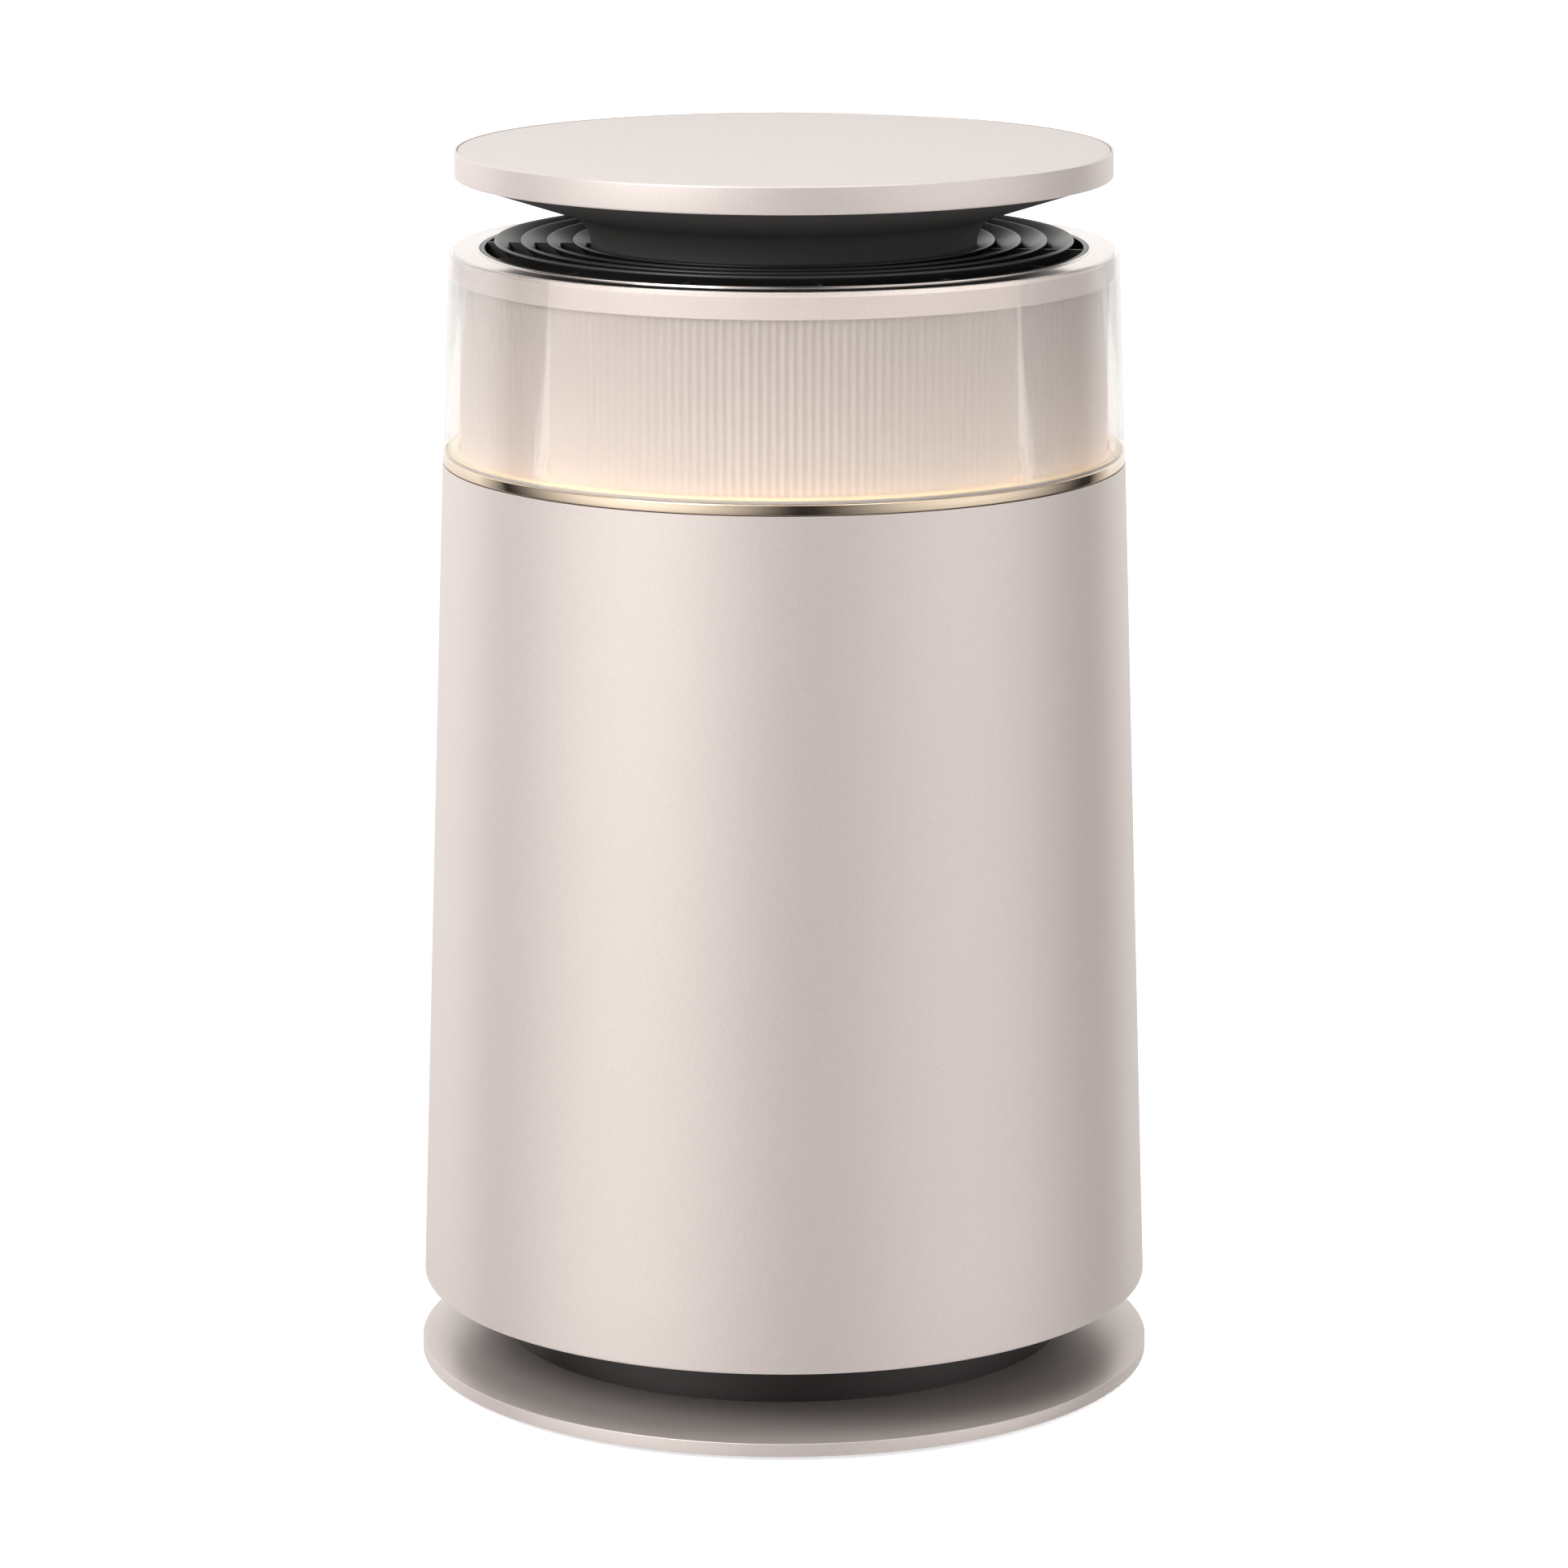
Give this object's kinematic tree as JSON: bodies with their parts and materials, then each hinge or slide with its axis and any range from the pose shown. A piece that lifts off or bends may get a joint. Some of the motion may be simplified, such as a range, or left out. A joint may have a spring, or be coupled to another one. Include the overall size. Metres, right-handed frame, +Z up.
{
  "type": "air purifier",
  "caption": "Round floor-standing air purifier: conical body on a recessed plinth, lit clear ring, louvred outlet under a round table top, and a filter behind a rear cover.",
  "frame": {"origin": "on the floor at the centre of the base", "axes": "+Z up, the front faces -Y, the removable cover is at +Y"},
  "size_m": [0.336, 0.336, 0.5583],
  "materials": {
    "satin_champagne": "satin metallic paint",
    "black_plastic": "satin moulded",
    "grey_plastic": "matt moulded",
    "white_plastic": "matt moulded",
    "gloss_rim": "polished",
    "polished_gold": "polished",
    "clear_acrylic": "clear",
    "frosted_acrylic": "frosted, fluted",
    "table_covering": "fine grain",
    "table_board": "bare board",
    "foot_rubber": "matt",
    "soft_grey_rubber": "matt",
    "steel": "zinc plated",
    "magnet_steel": "nickel plated",
    "copper_winding": "enamelled wire",
    "circuit_board": "solder mask",
    "component_black": "moulded",
    "led_warm": "lit",
    "filter_paper": "pleated",
    "carbon_fill": "granular",
    "filter_netting": "woven",
    "strap_fabric": "woven",
    "brass_pin": "plated"
  },
  "bodies": {
    "housing": {"rubber_feet": "foot_rubber", "base_bottom_plate": "black_plastic", "base_cover": "satin_champagne", "plinth": "black_plastic", "power_inlet": "component_black", "inlet_pins": "brass_pin", "intake_grille": "black_plastic", "outer_shell": "satin_champagne", "cover_keepers": "steel", "chassis": "grey_plastic", "fan_deck": "grey_plastic", "inlet_guard": "black_plastic", "fan_housing": "grey_plastic", "stator_core": "steel", "stator_coils": "copper_winding", "bearing_tube": "brass_pin", "motor_bearings": "magnet_steel", "motor_mount": "grey_plastic", "mount_dampers": "soft_grey_rubber", "mount_screws": "steel", "vane_ring": "black_plastic", "electronics_cup": "black_plastic", "power_board": "circuit_board", "main_board": "circuit_board", "board_spacers": "brass_pin", "board_components": "component_black", "air_sensor": "component_black", "trim_ring": "polished_gold", "led_strip": "circuit_board", "led_chips": "led_warm", "light_ring_shell": "clear_acrylic", "ribbed_diffuser": "frosted_acrylic", "top_band": "satin_champagne", "top_rim": "gloss_rim", "touch_board": "circuit_board", "outlet_duct": "white_plastic", "outlet_grille": "black_plastic", "deflector_neck": "black_plastic", "deflector_cone": "black_plastic", "tabletop_ring": "satin_champagne", "tabletop_core": "table_board", "tabletop_pad": "table_covering", "case_screws": "steel"},
    "cover": {"back_cover": "satin_champagne", "cover_magnets": "magnet_steel"},
    "filter": {"filter_cage": "white_plastic", "filter_core": "white_plastic", "filter_bottom_cap": "white_plastic", "filter_top_cap": "white_plastic", "filter_net": "filter_netting", "filter_carbon": "carbon_fill", "filter_media": "filter_paper", "filter_gasket": "soft_grey_rubber", "filter_pull_strap": "strap_fabric"},
    "fan": {"impeller": "black_plastic", "impeller_nut": "steel", "motor_shaft": "steel", "rotor_bell": "steel", "rotor_magnets": "component_black"}
  },
  "joints": [
    {"name": "fan_spin", "type": "hinge", "parent": "housing", "child": "fan", "pos_m": [0, 0, 0.34], "axis": [0, 0, 1], "continuous": true},
    {"name": "filter_pull", "type": "slide", "parent": "housing", "child": "filter", "axis": [0, 1, 0], "range_m": [0, 0.3]},
    {"name": "cover_pull", "type": "slide", "parent": "housing", "child": "cover", "axis": [0, 1, 0], "range_m": [0, 0.54]}
  ],
  "couplings": [
    {"joint": "cover_pull", "follows": "filter_pull", "ratio": 1.8}
  ]
}
